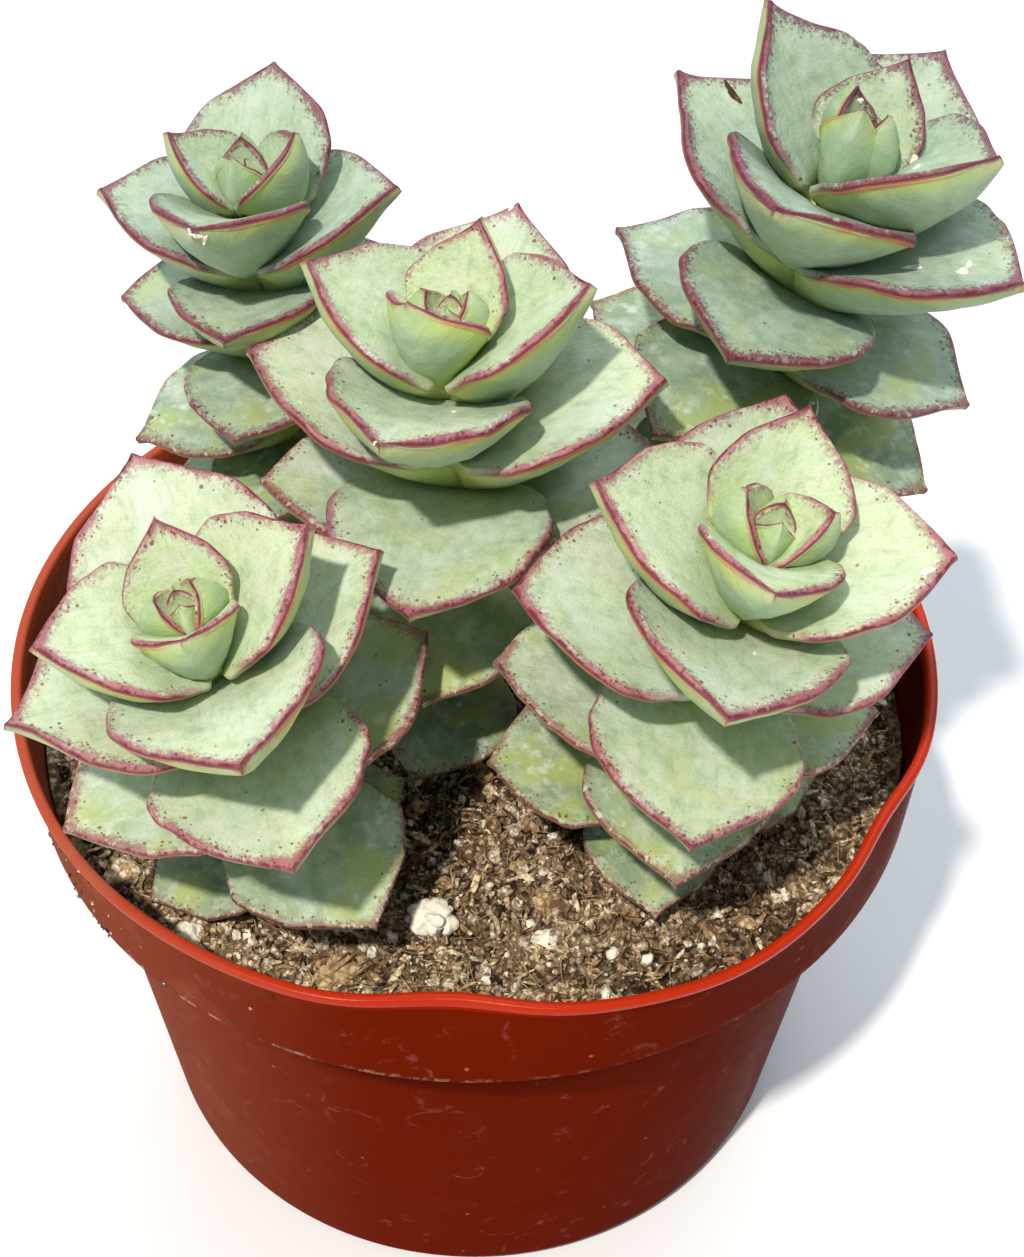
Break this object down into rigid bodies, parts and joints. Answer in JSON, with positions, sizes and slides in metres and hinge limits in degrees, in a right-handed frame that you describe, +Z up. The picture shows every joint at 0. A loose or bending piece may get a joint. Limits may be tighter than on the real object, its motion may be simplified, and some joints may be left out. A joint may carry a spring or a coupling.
{
  "type": "potted succulent",
  "caption": "Potted succulent with stacked pairs of thick pointed leaves on upright stems, in soil in a round nursery pot that stands on its flat underside.",
  "frame": {"origin": "centre of the flat underside of the pot", "axes": "+Z up along the axis of the pot, +Y towards the back, +X to the right as seen from the front"},
  "size_m": [0.1052, 0.1041, 0.1391],
  "materials": {
    "pot_plastic": "semi-gloss terracotta orange, scuffed",
    "soil": "loose peat and bark crumbs",
    "leaf": "smooth waxy grey-green with crimson margins",
    "perlite": "porous off-white",
    "bark": "dry and rough"
  },
  "bodies": {
    "root": {"pot": "pot_plastic", "soil": "soil", "tower_back_left": "leaf", "tower_centre": "leaf", "tower_back_right": "leaf", "tower_front_left": "leaf", "tower_front_right": "leaf", "perlite_front": "perlite", "perlite_left": "perlite", "perlite_front_left": "perlite", "perlite_right": "perlite", "bark_left": "bark", "bark_right": "bark", "bark_front": "bark"}
  },
  "joints": []
}
